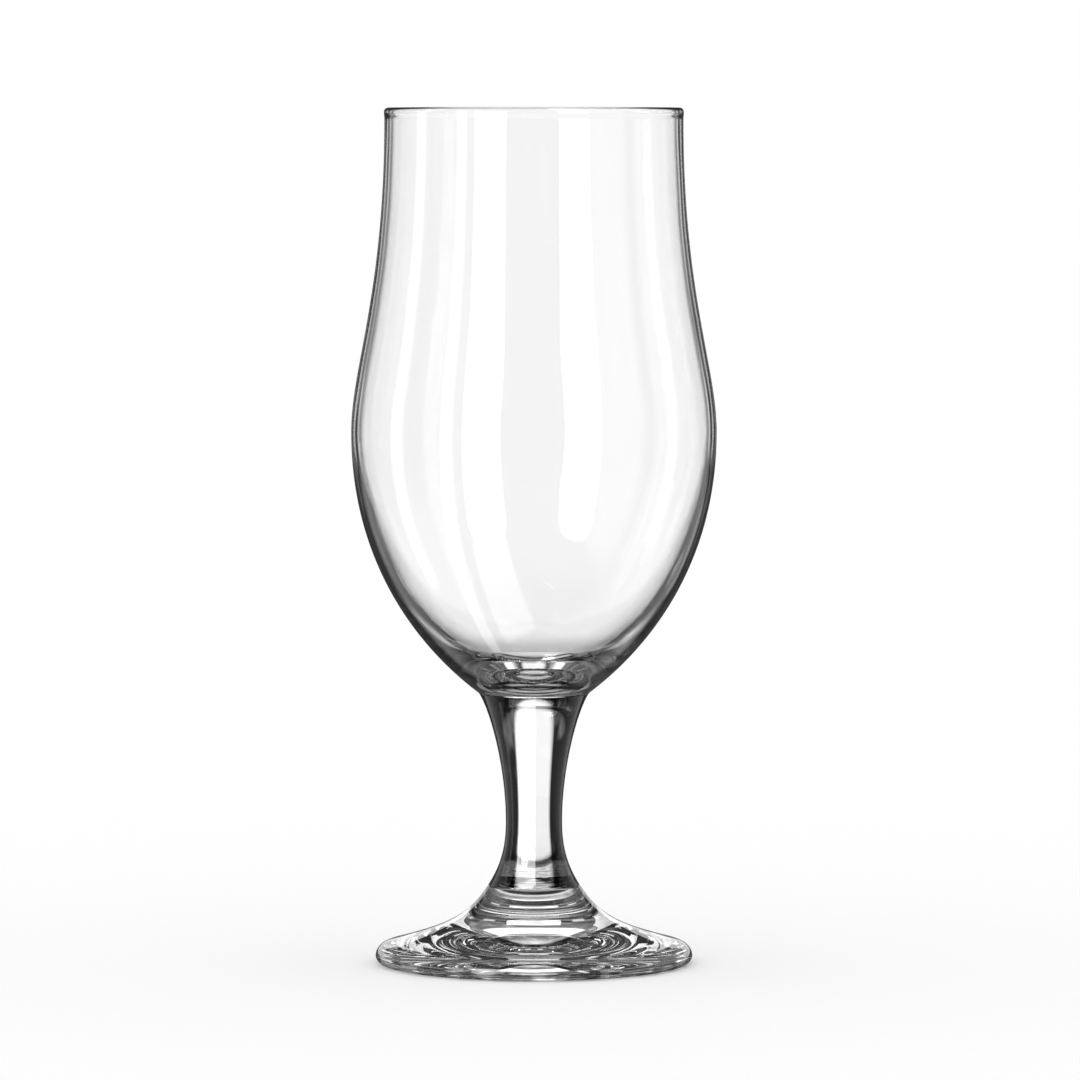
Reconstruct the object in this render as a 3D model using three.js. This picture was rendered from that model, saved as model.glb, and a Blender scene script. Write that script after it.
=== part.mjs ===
// Footed beer glass of clear glass, empty, standing on its foot. Lengths are in millimetres.
// +Z is up, the axis of the glass is the Z axis, and the foot rests on the plane Z = 0.
// Three pieces are fused end to end on the real glass: a blown bowl, a solid stem and a pressed foot.
import * as THREE from 'three';

// Heights above the table
const HEIGHT = 184;
const BELLY_HEIGHT = 114.5;
const BOWL_SEAM_HEIGHT = 58.4;
const WAIST_HEIGHT = 30.6;
const FOOT_SEAM_HEIGHT = 17;

// Outside diameters
const RIM_DIAMETER = 64;
const BELLY_DIAMETER = 78.4;
const BOWL_SEAM_DIAMETER = 23.7;
const WAIST_DIAMETER = 12.1;
const FOOT_SEAM_DIAMETER = 19.6;
const FOOT_DIAMETER = 68.2;

// Wall of the bowl: just under the lip, at the belly and at the lowest point of its floor
const LIP_THICKNESS = 1.65;
const BELLY_THICKNESS = 1.9;
const BASE_THICKNESS = 4.2;

// Round bead of the lip: how far it stands proud of the wall on each side, and its run-out below
const BEAD_PROUD = 0.1;
const BEAD_RUN = 1.5;

// How far the outside of the bowl holds its direction: below the lip, above and below the belly,
// and where it leaves the seam at the given angle above level
const NECK_HOLD = 40;
const SHOULDER_HOLD = 14;
const BELLY_HOLD = 28.9;
const BASE_HOLD = 15.4;
const BASE_ANGLE = 37;

// The same for the inside of the bowl, below the belly and across its floor
const INNER_BELLY_HOLD = 22;
const INNER_FLOOR_HOLD = 22.5;

// Flare of the stem up to the bowl and down to the foot, with its slope from level at each seam
const STEM_TOP_HOLD = 4.7;
const STEM_TOP_ANGLE = 57.7;
const WAIST_UPPER_HOLD = 11.6;
const WAIST_LOWER_HOLD = 6.3;
const STEM_FOOT_HOLD = 4.1;
const FLARE_ANGLE = 58;

// Foot: top slope, rounded edge, level ring that bears on the table and hollow underneath
const FOOT_FLARE_HOLD = 7.6;
const FOOT_TOP_HOLD = 14.4;
const FOOT_TOP_ANGLE = 15;
const EDGE_INSET = 2.1;
const EDGE_TOP_HEIGHT = 4.4;
const EDGE_HEIGHT = 1.8;
const BEARING_INSET = 2.2;
const BEARING_WIDTH = 3.4;
const HOLLOW_RISE = 2.4;
const HOLLOW_CROWN_HOLD = 14;
const HOLLOW_EDGE_HOLD = 4.4;
const HOLLOW_EDGE_ANGLE = 16;

// Facets round the axis, and the chords that stand for a long curve, a short curve and the bead's
// run-out on each side
const AROUND_SEGMENTS = 48;
const LONG_CURVE_SEGMENTS = 12;
const SHORT_CURVE_SEGMENTS = 6;
const RUN_SEGMENTS = 3;

// Share of a corner's reach at which a cubic curve rounds it like a quarter of an ellipse
const ROUND_RATIO = 0.5523;

const glass = { color: 0xf2f6f5, roughness: 0.02, metalness: 0, transparent: true, opacity: 0.35 };

// A point a given distance from (r, z), at an angle in degrees above level
function along(r, z, distance, degrees) {
  const a = THREE.MathUtils.degToRad(degrees);
  return [r + distance * Math.cos(a), z + distance * Math.sin(a)];
}

// Points of a curve up to its end, which is left to the next stretch of the outline
function stretch(path, chords) {
  return path.getPoints(chords).slice(0, -1);
}

// A cubic curve from p to q that leaves towards a and arrives from b
function curve(p, a, b, q, chords) {
  const points = [p, a, b, q].map(([r, z]) => new THREE.Vector2(r, z));
  return stretch(new THREE.CubicBezierCurve(...points), chords);
}

// A corner rounded from p to q, with its sharp corner at c
function rounded(p, c, q, chords) {
  const towards = (e) => e.map((value, i) => value + ROUND_RATIO * (c[i] - value));
  return curve(p, towards(p), towards(q), q, chords);
}

// Turns an outline, run with the glass on its left, into one closed solid standing on +Z
function turned(name, stretches) {
  const outline = stretches.flat().map((point) => new THREE.Vector2(...point));
  const solid = new THREE.LatheGeometry(outline, AROUND_SEGMENTS);
  solid.rotateX(Math.PI / 2);
  const mesh = new THREE.Mesh(solid, new THREE.MeshStandardMaterial(glass));
  mesh.name = name;
  return mesh;
}

const rimR = RIM_DIAMETER / 2;
const bellyR = BELLY_DIAMETER / 2;
const seamR = BOWL_SEAM_DIAMETER / 2;
const waistR = WAIST_DIAMETER / 2;
const footSeamR = FOOT_SEAM_DIAMETER / 2;
const footR = FOOT_DIAMETER / 2;

// Bowl: level seam face, base, belly and neck outside, then the beaded lip, then down the inside
function makeBowl() {
  const beadR = LIP_THICKNESS / 2 + BEAD_PROUD;
  const beadZ = HEIGHT - beadR;
  const runZ = beadZ - BEAD_RUN / 2;
  const neckZ = beadZ - BEAD_RUN;
  const innerRim = rimR - LIP_THICKNESS;
  const innerBelly = bellyR - BELLY_THICKNESS;
  const floorZ = BOWL_SEAM_HEIGHT + BASE_THICKNESS;
  const seam = [seamR, BOWL_SEAM_HEIGHT];
  const belly = [bellyR, BELLY_HEIGHT];
  const proudR = rimR + BEAD_PROUD;
  const innerProudR = innerRim - BEAD_PROUD;
  const lip = new THREE.EllipseCurve(rimR - LIP_THICKNESS / 2, beadZ, beadR, beadR, 0, Math.PI);
  return turned('bowl', [
    [[0, BOWL_SEAM_HEIGHT]],
    curve(seam, along(...seam, BASE_HOLD, BASE_ANGLE), [bellyR, BELLY_HEIGHT - BELLY_HOLD], belly,
      LONG_CURVE_SEGMENTS),
    curve(belly, [bellyR, BELLY_HEIGHT + SHOULDER_HOLD], [rimR, HEIGHT - NECK_HOLD], [rimR, neckZ],
      LONG_CURVE_SEGMENTS),
    curve([rimR, neckZ], [rimR, runZ], [proudR, runZ], [proudR, beadZ], RUN_SEGMENTS),
    stretch(lip, SHORT_CURVE_SEGMENTS),
    curve([innerProudR, beadZ], [innerProudR, runZ], [innerRim, runZ], [innerRim, neckZ], RUN_SEGMENTS),
    curve([innerRim, neckZ], [innerRim, HEIGHT - NECK_HOLD],
      [innerBelly, BELLY_HEIGHT + SHOULDER_HOLD], [innerBelly, BELLY_HEIGHT], LONG_CURVE_SEGMENTS),
    curve([innerBelly, BELLY_HEIGHT], [innerBelly, BELLY_HEIGHT - INNER_BELLY_HOLD],
      [INNER_FLOOR_HOLD, floorZ], [0, floorZ], LONG_CURVE_SEGMENTS),
    [[0, floorZ]],
  ]);
}

// Stem: solid, from the seam with the foot through the waist to the seam with the bowl
function makeStem() {
  const low = [footSeamR, FOOT_SEAM_HEIGHT];
  const waist = [waistR, WAIST_HEIGHT];
  const top = [seamR, BOWL_SEAM_HEIGHT];
  return turned('stem', [
    [[0, FOOT_SEAM_HEIGHT]],
    curve(low, along(...low, -STEM_FOOT_HOLD, -FLARE_ANGLE), [waistR, WAIST_HEIGHT - WAIST_LOWER_HOLD],
      waist, SHORT_CURVE_SEGMENTS),
    curve(waist, [waistR, WAIST_HEIGHT + WAIST_UPPER_HOLD], along(...top, -STEM_TOP_HOLD, STEM_TOP_ANGLE),
      top, SHORT_CURVE_SEGMENTS),
    [top, [0, BOWL_SEAM_HEIGHT]],
  ]);
}

// Foot: hollow underside, level bearing ring, rounded edge, sloping top and flare to its seam
function makeFoot() {
  const bearR = footR - BEARING_INSET;
  const hollow = [bearR - BEARING_WIDTH, 0];
  const edge = [footR, EDGE_HEIGHT];
  const top = [footR - EDGE_INSET, EDGE_TOP_HEIGHT];
  const slope = Math.tan(THREE.MathUtils.degToRad(FOOT_TOP_ANGLE));
  const corner = [footR, EDGE_TOP_HEIGHT - EDGE_INSET * slope];
  const seam = [footSeamR, FOOT_SEAM_HEIGHT];
  return turned('foot', [
    curve([0, HOLLOW_RISE], [HOLLOW_CROWN_HOLD, HOLLOW_RISE],
      along(...hollow, -HOLLOW_EDGE_HOLD, -HOLLOW_EDGE_ANGLE), hollow, SHORT_CURVE_SEGMENTS),
    [hollow],
    rounded([bearR, 0], [footR, 0], edge, SHORT_CURVE_SEGMENTS),
    rounded(edge, corner, top, SHORT_CURVE_SEGMENTS),
    curve(top, along(...top, -FOOT_TOP_HOLD, -FOOT_TOP_ANGLE), along(...seam, FOOT_FLARE_HOLD, -FLARE_ANGLE),
      seam, LONG_CURVE_SEGMENTS),
    [seam, [0, FOOT_SEAM_HEIGHT]],
  ]);
}

const beerGlass = new THREE.Group();
beerGlass.name = 'beer_glass';
beerGlass.add(makeBowl(), makeStem(), makeFoot());

export default beerGlass;
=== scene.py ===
# %% [markdown]
# # A footed beer glass in clear glass
# A beer glass of this kind is three pieces of clear glass, fused while they were hot: a blown bowl, a
# solid stem and a pressed foot. The packed CAD model holds their sizes and gives the frame, in metres with
# Z up and the foot standing on Z = 0. It is loaded before anything else, so that every piece made here
# lands where the CAD has it.

# %% Load the frame
import math

import bpy
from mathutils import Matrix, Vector


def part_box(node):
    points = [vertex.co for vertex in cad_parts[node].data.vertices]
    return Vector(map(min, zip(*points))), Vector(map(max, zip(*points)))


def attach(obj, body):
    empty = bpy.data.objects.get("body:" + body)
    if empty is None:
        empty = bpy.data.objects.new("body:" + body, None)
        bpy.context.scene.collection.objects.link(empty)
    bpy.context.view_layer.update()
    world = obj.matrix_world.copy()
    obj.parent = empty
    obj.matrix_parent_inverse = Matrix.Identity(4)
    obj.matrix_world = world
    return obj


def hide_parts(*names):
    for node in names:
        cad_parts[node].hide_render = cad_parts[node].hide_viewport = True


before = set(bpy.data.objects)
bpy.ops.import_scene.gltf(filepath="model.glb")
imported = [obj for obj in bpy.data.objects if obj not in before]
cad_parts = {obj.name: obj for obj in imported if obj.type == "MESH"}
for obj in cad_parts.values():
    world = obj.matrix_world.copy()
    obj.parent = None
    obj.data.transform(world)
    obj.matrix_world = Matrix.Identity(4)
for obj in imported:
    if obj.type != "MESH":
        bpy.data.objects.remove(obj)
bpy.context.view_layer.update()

scene = bpy.context.scene
print("pieces in the frame:", sorted(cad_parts))

# %% [markdown]
# ## The camera
# The glass was photographed with a long lens, from well back and a little above the rim, so its sides
# hardly converge and the mouth shows as a thin ellipse. A camera can be dragged about by eye until the
# picture fits. Its place, aim and focal length are written down here instead, because each of them can be
# compared with the photograph by itself: the ellipses of mouth and foot give the height of the camera, and
# how much they differ gives its distance.

# %% Place the camera
PICTURE_PIXELS = 1080
FOCAL_PIXELS = 7373
SENSOR_WIDTH_MM = 36.0
FAR_CLIP = 50.0
CAMERA_PLACE = Vector((0.0013, -1.58, 0.1903))
CAMERA_AIM = Vector((0.0013, 0.0, 0.0913))


def face_towards(thing, place, aim):
    """Puts a camera or a lamp at a place and turns its front, its own -Z side, to a point."""
    thing.location = place
    thing.rotation_euler = (aim - place).to_track_quat("-Z", "Y").to_euler()


camera = bpy.data.objects.new("camera", bpy.data.cameras.new("camera"))
scene.collection.objects.link(camera)
scene.camera = camera
camera.data.sensor_width = SENSOR_WIDTH_MM
camera.data.lens = SENSOR_WIDTH_MM * FOCAL_PIXELS / PICTURE_PIXELS
camera.data.clip_end = FAR_CLIP
face_towards(camera, CAMERA_PLACE, CAMERA_AIM)

# %% [markdown]
# ## Curves for an outline
# Each piece is round, so all of its shape is in half of its section: an outline that starts on the axis
# and comes back to it. A few facts fix each stretch of that outline, namely where it starts and ends, and
# in which direction it leaves and arrives. A cubic curve is made of exactly those four points. A Bezier
# curve object would draw the same line, but worked out here each stretch gets as many steps as its bend
# needs.

# %% Curves from four points
def curve(start, leave, arrive, end, steps):
    """Points after the start of a curve that leaves towards one point and arrives from another."""
    corners = (start, leave, arrive, end)
    points = []
    for step in range(1, steps + 1):
        t = step / steps
        s = 1 - t
        weights = (s ** 3, 3 * s * s * t, 3 * s * t * t, t ** 3)
        radius = sum(weight * corner[0] for weight, corner in zip(weights, corners))
        height = sum(weight * corner[1] for weight, corner in zip(weights, corners))
        points.append((radius, height))
    return points


def along(point, distance, degrees):
    """The point that lies a distance away, in a direction given in degrees above level."""
    angle = math.radians(degrees)
    return (point[0] + distance * math.cos(angle), point[1] + distance * math.sin(angle))


half_way = curve(start=(0, 0), leave=(1, 0), arrive=(2, 1), end=(2, 2), steps=2)[0]
print("half way round a test corner:", half_way)

# %% [markdown]
# ## A lathe
# A Screw modifier can turn an outline round the axis. It is done in code here for two reasons. Where an
# outline meets the axis, a ring of faces has to close in one point, not in many that lie on top of each
# other. And the flat faces at which two pieces are fused have to be told from the rest, because on the
# real glass there is no surface there at all, so they get a finish of their own.

# %% Turn an outline
MM = 0.001
AROUND = 192
FULL_TURN = 360


def ring(radius, height):
    """One point of the outline carried round the axis, or the single point where it meets the axis."""
    if radius == 0:
        return [(0.0, 0.0, height * MM)]
    angles = [2 * math.pi * i / AROUND for i in range(AROUND)]
    return [(radius * MM * math.cos(a), radius * MM * math.sin(a), height * MM) for a in angles]


def turn(name, outline, fused_steps):
    """Turns an outline of (radius, height) in millimetres; fused_steps are its steps that are seams."""
    points = []
    rings = []
    for radius, height in outline:
        carried = ring(radius, height)
        rings.append([len(points) + i % len(carried) for i in range(AROUND)])
        points += carried
    faces = []
    fused = []
    for step, (low, high) in enumerate(zip(rings, rings[1:])):
        for i in range(AROUND):
            j = (i + 1) % AROUND
            corners = (low[i], low[j], high[j], high[i])
            faces.append(tuple(dict.fromkeys(corners)))
            fused.append(step in fused_steps)
    mesh = bpy.data.meshes.new(name)
    mesh.from_pydata(points, [], faces)
    for face, is_fused in zip(mesh.polygons, fused):
        face.use_smooth = not is_fused
        face.material_index = int(is_fused)
    mesh.validate()
    piece = bpy.data.objects.new(name, mesh)
    scene.collection.objects.link(piece)
    print(name, "has", len(mesh.polygons), "faces")
    return piece


print("outlines are turned in", AROUND, "steps of", FULL_TURN / AROUND, "degrees")

# %% [markdown]
# ## The bowl
# The bowl is blown into a mould. Its wall is thin at the neck, a little thicker at the belly, and gathers
# into a thick base over the stem. A Solidify modifier would give the wall one thickness everywhere, so
# outside and inside are drawn as curves of their own. The main sizes come from the frame; the rest are
# those of the CAD model, in millimetres as on a maker's drawing. A hold is how far a curve keeps its
# direction as it leaves a point: a long hold makes a straight neck, a short one a tight shoulder.

# %% Sizes of the bowl
DRAWING_DIGITS = 3

bowl_low, bowl_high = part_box("bowl")
stem_low, stem_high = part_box("stem")


def millimetres(metres):
    """A length of the frame as on a drawing, without the stray digits that the file format adds."""
    return round(metres / MM, DRAWING_DIGITS)


HEIGHT = millimetres(bowl_high.z)
BELLY_RADIUS = millimetres(bowl_high.x)
BOWL_SEAM_HEIGHT = millimetres(bowl_low.z)
BOWL_SEAM_RADIUS = millimetres(stem_high.x)
BELLY_HEIGHT = 114.5
RIM_RADIUS = 32.0
LIP_THICKNESS = 1.65
BELLY_THICKNESS = 1.9
BASE_THICKNESS = 4.2
print("bowl from", BOWL_SEAM_HEIGHT, "to", HEIGHT, "mm, belly", 2 * BELLY_RADIUS, "mm across")

# %% Outside of the bowl
LONG_STEPS = 90
BASE_HOLD = 15.4
BASE_ANGLE = 37
BELLY_HOLD = 28.9
SHOULDER_HOLD = 14
NECK_HOLD = 40
BEAD_PROUD = 0.1
BEAD_RUN = 1.5

bead_radius = LIP_THICKNESS / 2 + BEAD_PROUD
bead_height = HEIGHT - bead_radius
neck_height = bead_height - BEAD_RUN
bowl_seam = (BOWL_SEAM_RADIUS, BOWL_SEAM_HEIGHT)
above_seam = along(bowl_seam, BASE_HOLD, BASE_ANGLE)
belly = (BELLY_RADIUS, BELLY_HEIGHT)
below_belly = (BELLY_RADIUS, BELLY_HEIGHT - BELLY_HOLD)
above_belly = (BELLY_RADIUS, BELLY_HEIGHT + SHOULDER_HOLD)
below_neck = (RIM_RADIUS, HEIGHT - NECK_HOLD)
neck = (RIM_RADIUS, neck_height)

bowl_outside = [(0, BOWL_SEAM_HEIGHT), bowl_seam]
bowl_outside += curve(bowl_seam, above_seam, below_belly, belly, LONG_STEPS)
bowl_outside += curve(belly, above_belly, below_neck, neck, LONG_STEPS)
print("outside of the bowl:", len(bowl_outside), "points")

# %% [markdown]
# ## The lip
# The lip is cut and then melted round in a flame, which draws the glass into a bead that stands slightly
# proud of the wall on both sides. A Bevel modifier would round the two corners but give no bead. Half a
# circle with a short run-out on each side is the shape that the flame leaves, and it is what draws the
# fine dark line along the mouth.

# %% Bead of the lip
RUN_STEPS = 12
BEAD_STEPS = 24
HALF_TURN = FULL_TURN / 2

run_height = bead_height - BEAD_RUN / 2
inner_rim = RIM_RADIUS - LIP_THICKNESS
proud_radius = RIM_RADIUS + BEAD_PROUD
inner_proud = inner_rim - BEAD_PROUD
inner_neck = (inner_rim, neck_height)
bead_start = (proud_radius, bead_height)
bead_middle = (RIM_RADIUS - LIP_THICKNESS / 2, bead_height)
bead_end = (inner_proud, bead_height)

lip = curve(neck, (RIM_RADIUS, run_height), (proud_radius, run_height), bead_start, RUN_STEPS)
for step in range(1, BEAD_STEPS + 1):
    lip.append(along(bead_middle, bead_radius, HALF_TURN * step / BEAD_STEPS))
lip += curve(bead_end, (inner_proud, run_height), (inner_rim, run_height), inner_neck, RUN_STEPS)
print("bead of the lip:", 2 * bead_radius, "mm thick")

# %% [markdown]
# ## The inside of the bowl
# Down to the belly the inside follows the outside, one wall further in. Below it the two part: the mould
# shapes the outside, but the inside is left to the breath and to the glass that sinks while it is hot, so
# its floor is rounder and shallower. An offset of the outside would miss that. The floor is drawn with a
# long level hold, and what is left between it and the underside is the thick base.

# %% Inside of the bowl
INNER_BELLY_HOLD = 22
INNER_FLOOR_HOLD = 22.5

inner_belly_radius = BELLY_RADIUS - BELLY_THICKNESS
floor_height = BOWL_SEAM_HEIGHT + BASE_THICKNESS
inner_belly = (inner_belly_radius, BELLY_HEIGHT)
below_inner_neck = (inner_rim, HEIGHT - NECK_HOLD)
above_inner_belly = (inner_belly_radius, BELLY_HEIGHT + SHOULDER_HOLD)
below_inner_belly = (inner_belly_radius, BELLY_HEIGHT - INNER_BELLY_HOLD)
floor_side = (INNER_FLOOR_HOLD, floor_height)
floor_middle = (0, floor_height)

cavity = curve(inner_neck, below_inner_neck, above_inner_belly, inner_belly, LONG_STEPS)
cavity += curve(inner_belly, below_inner_belly, floor_side, floor_middle, LONG_STEPS)
bowl = turn("glass_bowl", bowl_outside + lip + cavity, fused_steps={0})

# %% [markdown]
# ## The stem
# The stem is solid, drawn down from the hot base of the bowl, with its waist nearer the foot than the bowl.
# It could be one outline with the bowl, but it is a piece of its own in the CAD model and it needs a finish
# of its own: a round rod of solid glass bends light far more than a thin wall does.

# %% Turn the stem
SHORT_STEPS = 60
FOOT_SEAM_HEIGHT = millimetres(stem_low.z)
FOOT_SEAM_RADIUS = 9.8
WAIST_HEIGHT = 30.6
WAIST_RADIUS = 6.05
STEM_TOP_HOLD = 4.7
STEM_TOP_ANGLE = 57.7
WAIST_UPPER_HOLD = 11.6
WAIST_LOWER_HOLD = 6.3
STEM_FOOT_HOLD = 4.1
FLARE_ANGLE = 58

foot_seam = (FOOT_SEAM_RADIUS, FOOT_SEAM_HEIGHT)
waist = (WAIST_RADIUS, WAIST_HEIGHT)
above_foot = along(foot_seam, -STEM_FOOT_HOLD, -FLARE_ANGLE)
below_waist = (WAIST_RADIUS, WAIST_HEIGHT - WAIST_LOWER_HOLD)
above_waist = (WAIST_RADIUS, WAIST_HEIGHT + WAIST_UPPER_HOLD)
below_bowl = along(bowl_seam, -STEM_TOP_HOLD, STEM_TOP_ANGLE)

stem_outline = [(0, FOOT_SEAM_HEIGHT), foot_seam]
stem_outline += curve(foot_seam, above_foot, below_waist, waist, SHORT_STEPS)
stem_outline += curve(waist, above_waist, below_bowl, bowl_seam, SHORT_STEPS)
stem_outline.append((0, BOWL_SEAM_HEIGHT))
last_step = len(stem_outline) - 2
stem = turn("glass_stem", stem_outline, fused_steps={0, last_step})

# %% [markdown]
# ## The foot
# The foot is pressed: a sloping disc with a rounded edge, flared up to meet the stem. Underneath it is
# slightly hollow, so that the glass stands on a level ring near its edge and doesn't rock. It is turned
# like the rest, from the crown of the hollow out to the edge and back up to the seam. Its two rounded
# corners reach further along one side than along the other, where a Bevel modifier would take the same
# from both. So each is a curve that is given the sharp corner which it stands for.

# %% Underside and edge of the foot
EDGE_STEPS = 24
ROUND_RATIO = 0.5523
FOOT_RADIUS = millimetres(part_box("foot")[1].x)
HOLLOW_RISE = 2.4
HOLLOW_CROWN_HOLD = 14
HOLLOW_EDGE_HOLD = 4.4
HOLLOW_EDGE_ANGLE = 16
BEARING_INSET = 2.2
BEARING_WIDTH = 3.4
EDGE_HEIGHT = 1.8
EDGE_TOP_HEIGHT = 4.4
EDGE_INSET = 2.1
FOOT_TOP_ANGLE = 15


def rounded(start, corner, end, steps):
    """A corner rounded like a quarter of an ellipse, given the sharp corner that it stands for."""
    leave = [a + ROUND_RATIO * (c - a) for a, c in zip(start, corner)]
    arrive = [b + ROUND_RATIO * (c - b) for b, c in zip(end, corner)]
    return curve(start, leave, arrive, end, steps)


crown = (0, HOLLOW_RISE)
bearing_outer = (FOOT_RADIUS - BEARING_INSET, 0)
bearing_inner = (FOOT_RADIUS - BEARING_INSET - BEARING_WIDTH, 0)
hollow_edge = along(bearing_inner, -HOLLOW_EDGE_HOLD, -HOLLOW_EDGE_ANGLE)
edge = (FOOT_RADIUS, EDGE_HEIGHT)
edge_top = (FOOT_RADIUS - EDGE_INSET, EDGE_TOP_HEIGHT)
slope_corner = (FOOT_RADIUS, EDGE_TOP_HEIGHT - EDGE_INSET * math.tan(math.radians(FOOT_TOP_ANGLE)))

foot_outline = [crown]
foot_outline += curve(crown, (HOLLOW_CROWN_HOLD, HOLLOW_RISE), hollow_edge, bearing_inner, SHORT_STEPS)
foot_outline.append(bearing_outer)
foot_outline += rounded(bearing_outer, (FOOT_RADIUS, 0), edge, EDGE_STEPS)
foot_outline += rounded(edge, slope_corner, edge_top, EDGE_STEPS)
print("the foot bears on a ring", BEARING_WIDTH, "mm wide and", 2 * bearing_outer[0], "mm across")

# %% Top of the foot
FOOT_TOP_HOLD = 14.4
FOOT_FLARE_HOLD = 7.6

slope_end = along(edge_top, -FOOT_TOP_HOLD, -FOOT_TOP_ANGLE)
flare_start = along(foot_seam, FOOT_FLARE_HOLD, -FLARE_ANGLE)
foot_outline += curve(edge_top, slope_end, flare_start, foot_seam, SHORT_STEPS)
foot_outline.append((0, FOOT_SEAM_HEIGHT))
last_step = len(foot_outline) - 2
foot = turn("glass_foot", foot_outline, fused_steps={last_step})

# %% [markdown]
# ## Words for nodes
# Finishes and light are built from nodes, and a node tree written out line by line is hard to read. A
# small bench of helpers lets a sum be read as a sum: times, plus, and an ease from one value to another.
# The same tree could be drawn in the node editor; the words only save the wiring.

# %% A bench for sums
class SumBench:
    """One node tree, with plain words for the sums that a finish or a light needs."""

    def __init__(self, tree):
        self.tree = tree

    def add(self, kind):
        return self.tree.nodes.new("ShaderNode" + kind)

    def feed(self, socket, value):
        """Links a socket to another node's output, or sets it to a plain value."""
        if isinstance(value, bpy.types.NodeSocket):
            self.tree.links.new(value, socket)
        else:
            socket.default_value = value

    def sum_of(self, operation, *values):
        node = self.add("Math")
        node.operation = operation
        for socket, value in zip(node.inputs, values):
            self.feed(socket, value)
        return node.outputs[0]

    def times(self, first, *others):
        for other in others:
            first = self.sum_of("MULTIPLY", first, other)
        return first

    def plus(self, first, *others):
        for other in others:
            first = self.sum_of("ADD", first, other)
        return first

    def rest_of(self, share):
        return self.sum_of("SUBTRACT", 1.0, share)


print("words for sums:", [word for word in vars(SumBench) if not word.startswith("_")])


# %% A bench for finishes and light
class NodeBench(SumBench):
    """The same bench with soft steps, noise and a way to mix two shaders."""

    def ease(self, value, start, end, at_start, at_end):
        """Goes softly from one level to another while a value goes from start to end."""
        node = self.add("MapRange")
        node.interpolation_type = "SMOOTHSTEP"
        for socket, number in zip(node.inputs, (value, start, end, at_start, at_end)):
            self.feed(socket, number)
        return node.outputs[0]

    def band(self, value, low, high, soft):
        """1 while a value is between low and high, and 0 outside, with a soft step at each end."""
        rising = self.ease(value, low - soft, low + soft, 0.0, 1.0)
        return self.times(rising, self.ease(value, high - soft, high + soft, 1.0, 0.0))

    def noise(self, where, size, detail):
        """Soft irregular levels about 0.5, with lumps of about the given size."""
        node = self.add("TexNoise")
        node.inputs["Scale"].default_value = 1 / size
        node.inputs["Detail"].default_value = detail
        self.feed(node.inputs["Vector"], where)
        return node.outputs["Fac"]

    def mix(self, share, first, second):
        node = self.add("MixShader")
        for socket, value in zip(node.inputs, (share, first, second)):
            self.feed(socket, value)
        return node.outputs[0]


print("words added:", [word for word in vars(NodeBench) if not word.startswith("_")])

# %% [markdown]
# ## Clear glass
# Table glass bends light by an index of about 1.52 and takes hardly any of it away. Blown and pressed
# glass is never as flat as a lens: its skin ripples by some hundredths of a millimetre over a centimetre
# or two, and washing leaves smears that are seen only at a slant. Waves so shallow would be lost in a
# mesh, so they are a bump from a soft noise, and the smears a very small change of roughness. The shape
# itself stays in the mesh.

# %% Glass with a ripple and smears
GLASS_INDEX = 1.52
RIPPLE_DETAIL = 1.0
SMEAR_SIZE = 0.006
SMEAR_DETAIL = 4.0
SMEAR_THIN = 0.4
SMEAR_THICK = 0.7
SMEAR_ROUGHNESS = 0.02


def clear_glass(name, ripple_size, ripple_depth):
    """Makes a clear glass and gives back its material, its bench and its shader."""
    material = bpy.data.materials.new(name)
    material.use_nodes = True
    bench = NodeBench(material.node_tree)
    shader = material.node_tree.nodes["Principled BSDF"]
    shader.inputs["Transmission Weight"].default_value = 1.0
    shader.inputs["IOR"].default_value = GLASS_INDEX
    where = bench.add("TexCoord").outputs["Object"]
    bump = bench.add("Bump")
    bump.inputs["Distance"].default_value = ripple_depth
    bench.feed(bump.inputs["Height"], bench.noise(where, ripple_size, RIPPLE_DETAIL))
    bench.feed(shader.inputs["Normal"], bump.outputs["Normal"])
    smears = bench.noise(where, SMEAR_SIZE, SMEAR_DETAIL)
    roughness = bench.ease(smears, SMEAR_THIN, SMEAR_THICK, 0.0, SMEAR_ROUGHNESS)
    bench.feed(shader.inputs["Roughness"], roughness)
    print(name, "ripples by", ripple_depth / MM, "mm over", ripple_size / MM, "mm")
    return material, bench, shader


print("clear glass of index", GLASS_INDEX, "with smears up to a roughness of", SMEAR_ROUGHNESS)

# %% [markdown]
# ## Glass of the bowl
# Where the bowl gathers into its base, light travels through far more glass than in the wall, and some of
# it is lost on the way. A Volume Absorption node would measure that path, but it needs many samples and
# solids that join without a gap. The tint of the surface is lowered instead, in two places: on the
# underside of the base, and on the lower wall where it turns away and is seen edge on. That darkening is
# partly the loss in the glass and partly painted shade, for the dark that the thick base and the turned
# wall bend in from round the glass. The floor of the cavity stays clear. It is told from the underside by
# which way its outer side looks, and a normal that Blender has turned round, for a ray that comes from
# within the glass, is turned back first.

# %% Where the glass is and which way it looks
UNDERSIDE_SURE = -0.3
UNDERSIDE_END = -0.1


def place_on(bench):
    """The place of a point of the glass, with X, Y and Z apart."""
    split = bench.add("SeparateXYZ")
    bench.feed(split.inputs[0], bench.add("TexCoord").outputs["Object"])
    return split.outputs


def height_on(bench):
    """The height of a point of the glass above the table."""
    return place_on(bench)["Z"]


def facing_away(bench):
    """0 where the glass faces the eye, rising to 1 where it turns away."""
    return bench.add("LayerWeight").outputs["Facing"]


def looking_down(bench):
    """1 on faces whose outer side looks down, such as the underside of the base, and 0 on the others."""
    normal = bench.add("SeparateXYZ")
    bench.feed(normal.inputs[0], bench.add("TexCoord").outputs["Normal"])
    from_within = bench.add("NewGeometry").outputs["Backfacing"]
    turned_back = bench.ease(from_within, start=0, end=1, at_start=1.0, at_end=-1.0)
    upward = bench.times(normal.outputs["Z"], turned_back)
    return bench.ease(upward, UNDERSIDE_SURE, UNDERSIDE_END, 1.0, 0.0)


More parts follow.
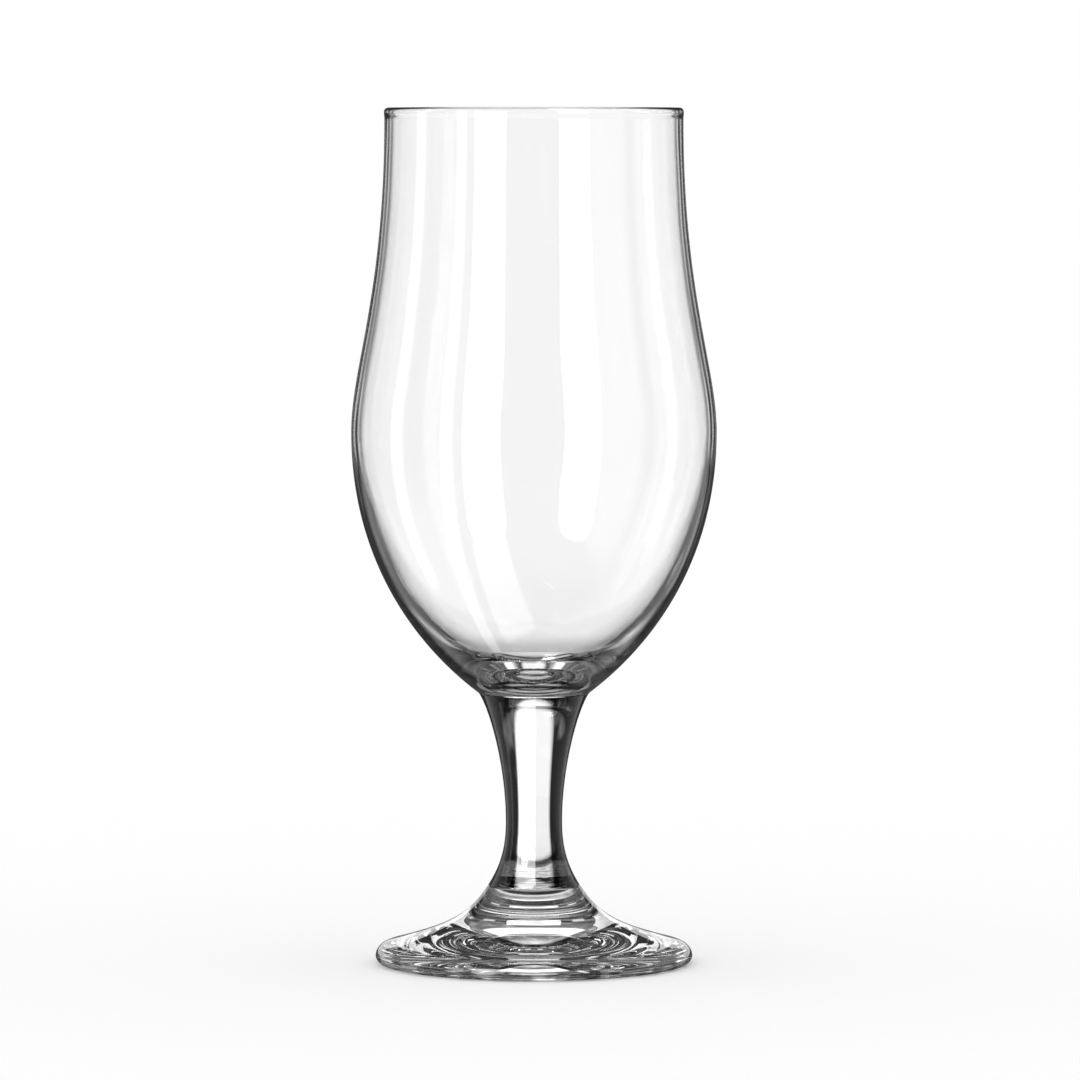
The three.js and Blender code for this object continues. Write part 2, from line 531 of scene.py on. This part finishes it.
print("the underside looks down by more than", -UNDERSIDE_END)

# %% Finish the bowl
BOWL_RIPPLE_SIZE = 0.024
BOWL_RIPPLE_DEPTH = 0.00008
BASE_PAINTED_SHADE_TINT = 0.45
BASE_LOW = 0.060
BASE_HIGH = 0.066
LOWER_WALL_PAINTED_SHADE_TINT = 0.3
LOWER_WALL_LOW = 0.066
LOWER_WALL_HIGH = 0.080
EDGE_ON_START = 0.5
EDGE_ON_END = 0.85

bowl_glass, bench, shader = clear_glass("bowl_clear_glass", BOWL_RIPPLE_SIZE, BOWL_RIPPLE_DEPTH)
height = height_on(bench)
# Painted shade: the underside of the base and the lower wall seen edge on are darkened in the glass's tint.
base_painted_shade = bench.ease(height, BASE_LOW, BASE_HIGH, 1.0 - BASE_PAINTED_SHADE_TINT, 0.0)
base_painted_shade_tint = bench.rest_of(bench.times(base_painted_shade, looking_down(bench)))
edge_on_painted_shade = bench.ease(facing_away(bench), EDGE_ON_START, EDGE_ON_END, 0.0, 1.0 - LOWER_WALL_PAINTED_SHADE_TINT)
lower_wall_painted_shade_mask = bench.ease(height, LOWER_WALL_LOW, LOWER_WALL_HIGH, 1.0, 0.0)
wall_painted_shade_tint = bench.rest_of(bench.times(edge_on_painted_shade, lower_wall_painted_shade_mask))
bench.feed(shader.inputs["Base Color"], bench.times(base_painted_shade_tint, wall_painted_shade_tint))
print("tint of the base:", BASE_PAINTED_SHADE_TINT, "and of the lower wall seen edge on:", LOWER_WALL_PAINTED_SHADE_TINT)

# %% [markdown]
# ## Glass of the stem
# A solid rod of glass shows a bright streak down its middle and two dark sides, where it bends the light
# round from the black cards that a photographer stands beside a glass. Cards in the scene would darken the
# bowl too, so the dark sides are painted shade: the stem's own glass grows dark where its surface turns
# away, which the Layer Weight node tells. Hot glass that is drawn out keeps faint streaks along its length.
# They are a noise stretched along the stem, which paints a little light back into the painted dark sides.

# %% Finish the stem
STEM_RIPPLE_SIZE = 0.015
STEM_RIPPLE_DEPTH = 0.00004
STEM_CLEAR = 0.99
STEM_SIDE_PAINTED_SHADE = 0.0004
STEM_TURN_START = 0.125
STEM_TURN_END = 0.19
STREAK_SIZE = 0.004
STREAK_DETAIL = 2.0
STREAK_STRETCH = 0.16
STREAK_THIN = 0.5
STREAK_THICK = 0.68
STREAK_PAINTED_SHADE = 0.03

stem_glass, bench, shader = clear_glass("stem_clear_glass", STEM_RIPPLE_SIZE, STEM_RIPPLE_DEPTH)
drawn_out = bench.add("Mapping")
drawn_out.inputs["Scale"].default_value = (1.0, 1.0, STREAK_STRETCH)
bench.feed(drawn_out.inputs["Vector"], bench.add("TexCoord").outputs["Object"])
streaks = bench.noise(drawn_out.outputs["Vector"], STREAK_SIZE, STREAK_DETAIL)
# Painted shade on the sides of the stem that turn away, with a little painted light let back in streaks.
side_painted_shade = bench.ease(streaks, STREAK_THIN, STREAK_THICK, STEM_SIDE_PAINTED_SHADE, STREAK_PAINTED_SHADE)
stem_painted_shade_tint = bench.ease(facing_away(bench), STEM_TURN_START, STEM_TURN_END, STEM_CLEAR, side_painted_shade)
bench.feed(shader.inputs["Base Color"], stem_painted_shade_tint)
bench.feed(shader.inputs["Specular Tint"], stem_painted_shade_tint)
streak_length = STREAK_SIZE / STREAK_STRETCH
print("streaks of the stem:", STREAK_SIZE / MM, "mm wide and", streak_length / MM, "mm long")

# %% [markdown]
# ## Glass of the foot
# The disc of the foot is clear. Its flare carries on the painted shade of the stem's dark sides, by the
# same turn away from the eye, faded out by height. Its rounded lower edge faces the table, so it bends in
# little but the shadow on which it stands, and shows as a dark line that is broken where the pressing left
# the edge
# uneven. That line is painted shade too: a loss by distance from the axis and by height, and a noise breaks
# it.

# %% Distance from the axis
def radius_on(bench):
    """The distance of a point of the glass from its axis."""
    place = place_on(bench)
    squares = [bench.times(place[side], place[side]) for side in "XY"]
    return bench.sum_of("SQRT", bench.plus(*squares))


print("the edge of the foot is", FOOT_RADIUS, "mm from the axis")

# %% Finish the foot
FOOT_RIPPLE_SIZE = 0.014
FOOT_RIPPLE_DEPTH = 0.00006
FLARE_SIDE_PAINTED_SHADE = 0.03
FLARE_TURN_START = 0.3
FLARE_TURN_END = 0.6
FLARE_FADE_LOW = 0.0085
FLARE_FADE_HIGH = 0.0140
RIM_PAINTED_SHADE_TINT = 0.05
RIM_INNER = 0.0318
RIM_OUTER = 0.0328
RIM_LOW = 0.0014
RIM_HIGH = 0.0026
SHADE_BREAK_SIZE = 0.006
SHADE_BREAK_DETAIL = 2.0
SHADE_BREAK_THIN = 0.38
SHADE_BREAK_THICK = 0.56
SHADE_BREAK_SHARE = 0.4

foot_glass, bench, shader = clear_glass("foot_clear_glass", FOOT_RIPPLE_SIZE, FOOT_RIPPLE_DEPTH)
# Painted shade where the flare turns away, faded out by height.
flare_painted_shade = bench.ease(facing_away(bench), FLARE_TURN_START, FLARE_TURN_END, 0.0, 1.0 - FLARE_SIDE_PAINTED_SHADE)
on_flare = bench.ease(height_on(bench), FLARE_FADE_LOW, FLARE_FADE_HIGH, 0.0, 1.0)
flare_painted_shade_tint = bench.rest_of(bench.times(flare_painted_shade, on_flare))
# Painted shade along the lower edge of the foot: a dark line, broken by a noise.
on_rim = bench.ease(radius_on(bench), RIM_INNER, RIM_OUTER, 0.0, 1.0)
low_rim_painted_shade = bench.ease(height_on(bench), RIM_LOW, RIM_HIGH, 1.0 - RIM_PAINTED_SHADE_TINT, 0.0)
lumps = bench.noise(bench.add("TexCoord").outputs["Object"], SHADE_BREAK_SIZE, SHADE_BREAK_DETAIL)
broken_painted_shade = bench.ease(lumps, SHADE_BREAK_THIN, SHADE_BREAK_THICK, SHADE_BREAK_SHARE, 1.0)
rim_painted_shade_tint = bench.rest_of(bench.times(on_rim, low_rim_painted_shade, broken_painted_shade))
foot_painted_shade_tint = bench.times(flare_painted_shade_tint, rim_painted_shade_tint)
bench.feed(shader.inputs["Base Color"], foot_painted_shade_tint)
bench.feed(shader.inputs["Specular Tint"], foot_painted_shade_tint)
print("the flare darkens from", FLARE_FADE_LOW / MM, "mm up to", FLARE_FADE_HIGH / MM, "mm")
print("the dark edge fades out by", RIM_HIGH / MM, "mm above the table")

# %% [markdown]
# ## Fused seams
# Bowl, stem and foot were melted together, so light passes from one to the next as if the seam weren't
# there. Two glass faces that touch would bend it twice and show a mirror inside the glass. The pieces
# could be joined into one mesh, but then they would be no pieces any more. A Transparent shader on the
# seam faces lets light through straight and keeps them apart.

# %% Finish the seams and fit the pieces on the frame
fused_seam = bpy.data.materials.new("fused_seam")
fused_seam.use_nodes = True
bench = NodeBench(fused_seam.node_tree)
bench.tree.nodes.remove(bench.tree.nodes["Principled BSDF"])
see_through = bench.add("BsdfTransparent").outputs[0]
bench.feed(bench.tree.nodes["Material Output"].inputs["Surface"], see_through)

pieces = ((bowl, "bowl", bowl_glass), (stem, "stem", stem_glass), (foot, "foot", foot_glass))
for piece, node, finish in pieces:
    piece.data.materials.append(finish)
    piece.data.materials.append(fused_seam)
    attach(piece, "root")
    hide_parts(node)
    print(piece.name, "stands in for", node)

# %% [markdown]
# ## What a ray has been through
# A photographer lights clear glass from behind, against white, and shapes it with panels and dark cards
# that show only as mirror images. In Blender, one world has to be all of that. The Light Path node counts
# how often a ray was mirrored and how often it crossed a surface, which tells a look straight through the
# glass from a mirror image, and light caught inside a wall from light that only passed.

# %% Kinds of ray
ONCE = 0.5
STRAIGHT_CROSSINGS = 4
BOTH_WALLS = STRAIGHT_CROSSINGS - ONCE


def ray_kinds(bench):
    """Two masks: rays that a surface mirrored, and rays that have been inside one wall only."""
    path = bench.add("LightPath")
    to_eye = bench.sum_of("LESS_THAN", path.outputs["Diffuse Depth"], ONCE)
    bounced = bench.sum_of("GREATER_THAN", path.outputs["Glossy Depth"], ONCE)
    entered = bench.sum_of("GREATER_THAN", path.outputs["Transmission Depth"], ONCE)
    shallow = bench.sum_of("LESS_THAN", path.outputs["Transmission Depth"], BOTH_WALLS)
    return bench.times(bounced, to_eye), bench.times(entered, shallow, to_eye)


print("a straight look through the bowl crosses", STRAIGHT_CROSSINGS, "surfaces")

# %% [markdown]
# ## The floor
# The glass stands on a sheet of white paper that runs on to the horizon. Paper gives back nine tenths of
# the light that falls on it. The last tenth is added as a glow, so that the sheet is as white as the
# backdrop and the horizon can't be seen, while the soft shadow round the foot stays. The paper has a fine
# tooth from a noise. Mirror images look through it, because what the glass mirrors is set up in the world.

# %% Lay the paper
FLOOR_HALF = 6.0
FLOOR_DROP = 0.00003
PAPER_WHITE = 0.9
PAPER_TOOTH_SIZE = 0.002
PAPER_TOOTH_DEPTH = 0.00001
PAPER_TOOTH_DETAIL = 2.0

corners = ((-1, -1), (1, -1), (1, 1), (-1, 1))
floor_points = [(x * FLOOR_HALF, y * FLOOR_HALF, -FLOOR_DROP) for x, y in corners]
floor_mesh = bpy.data.meshes.new("studio_floor")
floor_mesh.from_pydata(floor_points, [], [(0, 1, 2, 3)])
floor = bpy.data.objects.new("studio_floor", floor_mesh)
scene.collection.objects.link(floor)
print("floor of", 2 * FLOOR_HALF, "metres, laid", FLOOR_DROP / MM, "mm below the foot")

# %% Finish the paper
WHITE = (1, 1, 1, 1)

white_paper = bpy.data.materials.new("white_paper")
white_paper.use_nodes = True
bench = NodeBench(white_paper.node_tree)
paper = bench.tree.nodes["Principled BSDF"]
paper.inputs["Base Color"].default_value = (PAPER_WHITE, PAPER_WHITE, PAPER_WHITE, 1)
paper.inputs["Roughness"].default_value = 1.0
paper.inputs["Specular IOR Level"].default_value = 0.0
paper.inputs["Emission Color"].default_value = WHITE
paper.inputs["Emission Strength"].default_value = 1.0 - PAPER_WHITE
tooth = bench.add("Bump")
tooth.inputs["Distance"].default_value = PAPER_TOOTH_DEPTH
grain = bench.noise(bench.add("TexCoord").outputs["Object"], PAPER_TOOTH_SIZE, PAPER_TOOTH_DETAIL)
bench.feed(tooth.inputs["Height"], grain)
bench.feed(paper.inputs["Normal"], tooth.outputs["Normal"])
mirrored = ray_kinds(bench)[0]
sheet = bench.mix(mirrored, paper.outputs[0], bench.add("BsdfTransparent").outputs[0])
bench.feed(bench.tree.nodes["Material Output"].inputs["Surface"], sheet)
floor.data.materials.append(white_paper)
print("paper of white", PAPER_WHITE, "with a tooth of", PAPER_TOOTH_SIZE / MM, "mm")

# %% [markdown]
# ## Directions in the studio
# The world is painted by direction, as seen from the glass. The azimuth is 0 towards the camera and grows
# to the right, the elevation is 0 level and 90 overhead, and behind says how far a direction is from
# straight away behind the glass. Beside is behind again, but counted from the edge of a backdrop that
# sweeps wider the lower one looks. All are in degrees, so that a panel is placed as on a plan of the
# studio. Light that has crossed more than one wall of the bowl is told apart, because the far wall mirrors
# the panels as well, but less of them.

# %% Azimuth, elevation and behind
STRAIGHT_BEHIND = 180.0
SWEEP_START = -10.0
SWEEP_SLOPE = 0.75

world = bpy.data.worlds.new("studio_white")
world.use_nodes = True
scene.world = world
bench = NodeBench(world.node_tree)

direction = bench.add("TexCoord").outputs["Generated"]
split = bench.add("SeparateXYZ")
bench.feed(split.inputs[0], direction)
to_camera = bench.times(split.outputs["Y"], -1.0)
azimuth = bench.sum_of("DEGREES", bench.sum_of("ARCTAN2", split.outputs["X"], to_camera))
elevation = bench.sum_of("DEGREES", bench.sum_of("ARCSINE", split.outputs["Z"]))
behind = bench.sum_of("SUBTRACT", STRAIGHT_BEHIND, bench.sum_of("ABSOLUTE", azimuth))
sweep = bench.sum_of("MAXIMUM", bench.sum_of("SUBTRACT", SWEEP_START, elevation), 0.0)
beside = bench.sum_of("SUBTRACT", behind, bench.times(sweep, SWEEP_SLOPE))
path = bench.add("LightPath")
far_wall = bench.sum_of("GREATER_THAN", path.outputs["Transmission Depth"], BOTH_WALLS)
print("directions are ready in", len(world.node_tree.nodes), "nodes")

# %% [markdown]
# ## Lit panels
# The long white reflection down the left of the bowl is a softbox: a lit panel with rounded corners, a
# little to the left of the camera. Its lower half is weaker because it falls on the table. Further round
# stand a slim panel, a wide and dim one behind it, and one more at the side. A glass surface mirrors only
# about a twenty-fifth of the light, so a panel has to be brighter than white paper to show well. Area lamps
# would do, but panels painted in the world can have round corners and need no samples of their own.
# Lines of one azimuth run together straight below, as on a globe. So that the long reflections end round
# and not in a point, their width is counted across, in degrees that stay the same size further down.

# %% A panel with round corners
SOFTBOX_MIDDLE = -34.5

level_share = bench.sum_of("COSINE", bench.sum_of("RADIANS", elevation))
from_middle = bench.times(bench.plus(azimuth, -SOFTBOX_MIDDLE), level_share)
across = bench.plus(from_middle, SOFTBOX_MIDDLE)


def lit_panel(turned, left, right, low, high, corner, soft, level):
    """A lit panel with round corners, between two turns to the left or right and two elevations."""
    wide = bench.sum_of("ABSOLUTE", bench.plus(turned, -(left + right) / 2))
    tall = bench.sum_of("ABSOLUTE", bench.plus(elevation, -(low + high) / 2))
    past_side = bench.sum_of("MAXIMUM", bench.plus(wide, corner - (right - left) / 2), 0.0)
    past_end = bench.sum_of("MAXIMUM", bench.plus(tall, corner - (high - low) / 2), 0.0)
    squares = bench.plus(bench.times(past_side, past_side), bench.times(past_end, past_end))
    return bench.ease(bench.sum_of("SQRT", squares), corner - soft, corner + soft, level, 0.0)


print("the long panels are counted across from", SOFTBOX_MIDDLE, "degrees")

# %% Panels on the left
softbox = lit_panel(across, left=-45.5, right=-21.5, low=-36, high=34, corner=9, soft=1.2, level=10)
on_table = lit_panel(across, left=-45.5, right=-23, low=-76, high=-30, corner=8, soft=1.5, level=1)
on_table = bench.times(on_table, bench.ease(elevation, start=-82, end=-38, at_start=1.8, at_end=2.6))
wide_panel = lit_panel(azimuth, left=-80, right=-44, low=-60, high=40, corner=10, soft=5, level=0.8)
wide_panel = bench.times(wide_panel, bench.ease(far_wall, start=0, end=1, at_start=0.3, at_end=1.0))
slim_panel = lit_panel(across, left=-61.5, right=-52.5, low=-74, high=36, corner=4, soft=1.2, level=2.2)
slim_panel = bench.times(slim_panel, bench.rest_of(far_wall))
side_panel = lit_panel(azimuth, left=-102, right=-91, low=-40, high=36, corner=4, soft=1.5, level=1.8)
side_panel = bench.times(side_panel, bench.ease(far_wall, start=0, end=1, at_start=1.0, at_end=0.4))
panels = bench.plus(softbox, on_table, wide_panel, slim_panel, side_panel)
print("panels are ready in", len(world.node_tree.nodes), "nodes")

# %% [markdown]
# ## The room round the glass
# Apart from the panels, the outside of the glass mirrors a dim room, a pale table, the glow of the lit
# backdrop and pale walls to both sides of it. Straight behind the glass, where its edges mirror at a
# slant, the room is dark: that is what draws the fine dark contour which holds clear glass together
# against white. Far below it is dim too, because there the foot hides the table, and a bright table would
# lay a grey veil over the thick base. A photographer cuts such shapes out of card; here each is an ease.

# %% Room
ROOM_LEVEL = 0.1
TABLE_LEVEL = 0.65
GLOW_LEVEL = 0.43
LIT_SIDE_LEVEL = 0.9
CONTOUR_SHARE = 0.08
BELOW_SHARE = 0.05

table = bench.ease(elevation, start=-36, end=-6, at_start=TABLE_LEVEL, at_end=0.0)
off_level = bench.sum_of("ABSOLUTE", elevation)
glow = bench.ease(off_level, start=6, end=36, at_start=GLOW_LEVEL, at_end=0.0)
lit_side = bench.ease(behind, start=75, end=105, at_start=LIT_SIDE_LEVEL, at_end=0.0)
room = bench.sum_of("MAXIMUM", bench.plus(table, glow, ROOM_LEVEL), lit_side)
room = bench.times(room, bench.ease(behind, start=28, end=38, at_start=CONTOUR_SHARE, at_end=1.0))
room = bench.times(room, bench.ease(elevation, start=-62, end=-36, at_start=BELOW_SHARE, at_end=1.0))
outside_light = bench.plus(panels, room)
print("levels of the room:", ROOM_LEVEL, "of its table:", TABLE_LEVEL, "of the glow:", GLOW_LEVEL)

# %% [markdown]
# ## Light caught inside the glass
# The thick base of the bowl, the stem and the foot catch light and throw it about inside, so they show a
# bent and broken image of all that stands behind and beside the glass: the edges of the backdrop, slits of
# white between dark cards, a window, the ceiling, and the paper with the rings of light that the glass
# throws on it. None of it can be made out, but without something broken to show, thick glass looks like
# grey plastic. A modelled room would do it too, at a high cost in samples. A few eased bands and a dim
# noise for the clutter are enough.

# %% Slits and clutter
SLIT_SPACING = 6.0
SLIT_LEVEL = 0.8
CLUTTER_SIZE = 0.143
CLUTTER_DETAIL = 3.0
CLUTTER_DARK = 0.004
CLUTTER_LEVEL = 0.26

across_slit = bench.sum_of("PINGPONG", azimuth, SLIT_SPACING)
slits = bench.ease(across_slit, start=2.5, end=4.0, at_start=0.0, at_end=SLIT_LEVEL)
slits = bench.times(slits, bench.band(elevation, low=-8, high=2, soft=2))
slits = bench.times(slits, bench.ease(behind, start=26, end=34, at_start=1.0, at_end=0.0))
lumps = bench.noise(direction, CLUTTER_SIZE, CLUTTER_DETAIL)
clutter = bench.ease(lumps, start=0.5, end=0.64, at_start=CLUTTER_DARK, at_end=CLUTTER_LEVEL)
print("a slit every", 2 * SLIT_SPACING, "degrees")

# %% Backdrop and paper
BACKDROP_LEVEL = 0.7
WALL_LEVEL = 0.2
RING_SPACING = 9.0
RING_DARK = 0.15
RING_BRIGHT = 1.35
NEAR_PAPER_LEVEL = 0.45
SIDE_PAPER_LEVEL = 0.55

backdrop = bench.ease(beside, start=35, end=40, at_start=0.0, at_end=BACKDROP_LEVEL)
backdrop = bench.times(backdrop, bench.ease(beside, start=46, end=60, at_start=1.0, at_end=0.0))
backdrop = bench.times(backdrop, bench.ease(elevation, start=7, end=17, at_start=1.0, at_end=0.0))
wall = bench.ease(behind, start=45, end=75, at_start=WALL_LEVEL, at_end=0.0)
wall = bench.times(wall, bench.ease(elevation, start=3, end=14, at_start=0.0, at_end=1.0))

across_ring = bench.sum_of("PINGPONG", elevation, RING_SPACING)
rings = bench.ease(across_ring, start=2.0, end=6.5, at_start=RING_DARK, at_end=RING_BRIGHT)
low_down = bench.ease(elevation, start=-32, end=-12, at_start=1.0, at_end=0.0)
near_paper = bench.ease(behind, start=14, end=26, at_start=NEAR_PAPER_LEVEL, at_end=0.0)
near_paper = bench.times(near_paper, rings, low_down)
side_paper = bench.ease(beside, start=35, end=40, at_start=0.0, at_end=SIDE_PAPER_LEVEL)
side_paper = bench.sum_of("MAXIMUM", bench.times(side_paper, low_down), backdrop)
print("paper inside the glass:", NEAR_PAPER_LEVEL, "near and", SIDE_PAPER_LEVEL, "at the sides")

# %% Window and ceiling
WINDOW_LEVEL = 1.2
CEILING_LEVEL = 0.6
CEILING_SIDE_SHARE = 0.15

window = bench.ease(behind, start=26, end=30, at_start=WINDOW_LEVEL, at_end=0.0)
window = bench.times(window, bench.band(elevation, low=21.5, high=36.5, soft=1.5))
ceiling = bench.ease(elevation, start=42, end=58, at_start=0.0, at_end=CEILING_LEVEL)
side_share = bench.ease(behind, start=30, end=55, at_start=1.0, at_end=CEILING_SIDE_SHARE)
ceiling = bench.times(ceiling, side_share)
print("levels of the window and the ceiling:", WINDOW_LEVEL, CEILING_LEVEL)

# %% [markdown]
# ## Losses deep in the glass
# Light that is thrown back three times or more inside the glass has come a long way through it, and by
# routes on which the photographer's black cards stand. It is what makes the thick base, the inner edge of
# the wall and the rings of the foot dark. Those rays are known by their count of reflections and lose most
# of their light, a little more on the right, where the card stands closer. The window and the ceiling are
# added after the loss, so that a sparkle is left in the dark.

# %% Inside light
DEEP_COUNT = 2.5
LEFT_LOSS = 0.74
RIGHT_LOSS = 0.86

deep = bench.sum_of("GREATER_THAN", path.outputs["Glossy Depth"], DEEP_COUNT)
loss = bench.ease(azimuth, start=-60, end=60, at_start=LEFT_LOSS, at_end=RIGHT_LOSS)
loss = bench.times(loss, deep)
inside_light = bench.plus(slits, clutter, wall, near_paper, side_paper)
inside_light = bench.plus(bench.times(inside_light, bench.rest_of(loss)), window, ceiling)
print("deep light loses", LEFT_LOSS, "on the left and", RIGHT_LOSS, "on the right")

# %% [markdown]
# ## The studio put together
# Four kinds of ray now see four studios. A straight look, and light that falls on the floor, sees plain
# white at a strength of 1. A straight look out through one wall sees white too, but a dark ceiling above
# it. A mirror image on the outside sees panels and room, and light caught in a wall sees the broken image.

# %% World
DARK_CEILING = 0.05


def background(level):
    """White light of a level that changes with direction."""
    node = bench.add("Background")
    node.inputs["Color"].default_value = WHITE
    bench.feed(node.inputs["Strength"], level)
    return node.outputs[0]


white = world.node_tree.nodes["Background"]
white.inputs["Color"].default_value = WHITE
white.inputs["Strength"].default_value = 1.0
mirrored, caught = ray_kinds(bench)
under_ceiling = background(bench.ease(elevation, start=30, end=45, at_start=1.0, at_end=DARK_CEILING))
straight = bench.mix(caught, white.outputs[0], under_ceiling)
mirror_image = bench.mix(caught, background(outside_light), background(inside_light))
studio = bench.mix(mirrored, straight, mirror_image)
bench.feed(world.node_tree.nodes["World Output"].inputs["Surface"], studio)
print("the studio has", len(world.node_tree.nodes), "nodes")

# %% [markdown]
# ## Lamps for one piece
# The stem and the foot are lit on their own: a tall strip gives the stem its bright streak, a low backdrop
# stands behind the foot, and small cards stand round it so that its slope sparkles. On a real set they are
# held close, out of the picture. Blender's light linking does the same: a lamp lights only the pieces in
# its collection. Neither the camera nor the floor sees these lamps.

# %% A lamp linked to one piece
def linked_lamp(name, bearing, distance, height, width, tall, level, piece):
    """An area lamp at a bearing from the glass, facing its axis, as bright as a panel of that level."""
    data = bpy.data.lights.new(name, "AREA")
    data.shape = "RECTANGLE"
    data.size = width
    data.size_y = tall
    data.energy = level * width * tall * math.pi
    lamp = bpy.data.objects.new(name, data)
    scene.collection.objects.link(lamp)
    angle = math.radians(bearing)
    place = Vector((distance * math.sin(angle), -distance * math.cos(angle), height))
    face_towards(lamp, place, Vector((0, 0, height)))
    lamp.visible_camera = False
    lamp.visible_diffuse = False
    lamp.visible_transmission = False
    linked = bpy.data.collections.new(name + "_lights")
    linked.objects.link(piece)
    lamp.light_linking.receiver_collection = linked
    print(name, "lights", piece.name)
    return lamp


print("a lamp can be linked to", [piece.name for piece, node, finish in pieces])

# %% Strip for the stem and backdrop for the foot
linked_lamp("stem_strip", bearing=-30, distance=0.5, height=-0.25,
            width=0.7, tall=2.2, level=10, piece=stem)
linked_lamp("foot_backdrop", bearing=180, distance=1.5, height=0.24,
            width=2.4, tall=0.4, level=1, piece=foot)

# %% Cards round the foot
CARD_DISTANCE = 0.5
CARD_HEIGHT = 0.015
CARD_WIDTH = 0.17
CARD_TALL = 0.22
CARD_LEVELS = {-145: 1.0, -112: 1.6, -78: 1.9, 78: 1.6, 112: 1.4, 140: 1.1, 180: 1.0}

for bearing, level in CARD_LEVELS.items():
    name = "foot_card_%d" % bearing
    card = linked_lamp(name, bearing, CARD_DISTANCE, CARD_HEIGHT, CARD_WIDTH, CARD_TALL, level, foot)
    card.visible_transmission = True
    card.visible_glossy = False
print("cards round the foot:", len(CARD_LEVELS))

# %% [markdown]
# ## Finish
# Glass needs many bounces, or rays that are still inside it end in black. The Standard view keeps white
# paper at white.

# %% Bounces and finish
BOUNCES = 32

scene.view_settings.view_transform = "Standard"
scene.cycles.max_bounces = BOUNCES
scene.cycles.transmission_bounces = BOUNCES
scene.cycles.glossy_bounces = BOUNCES
scene.cycles.transparent_max_bounces = BOUNCES
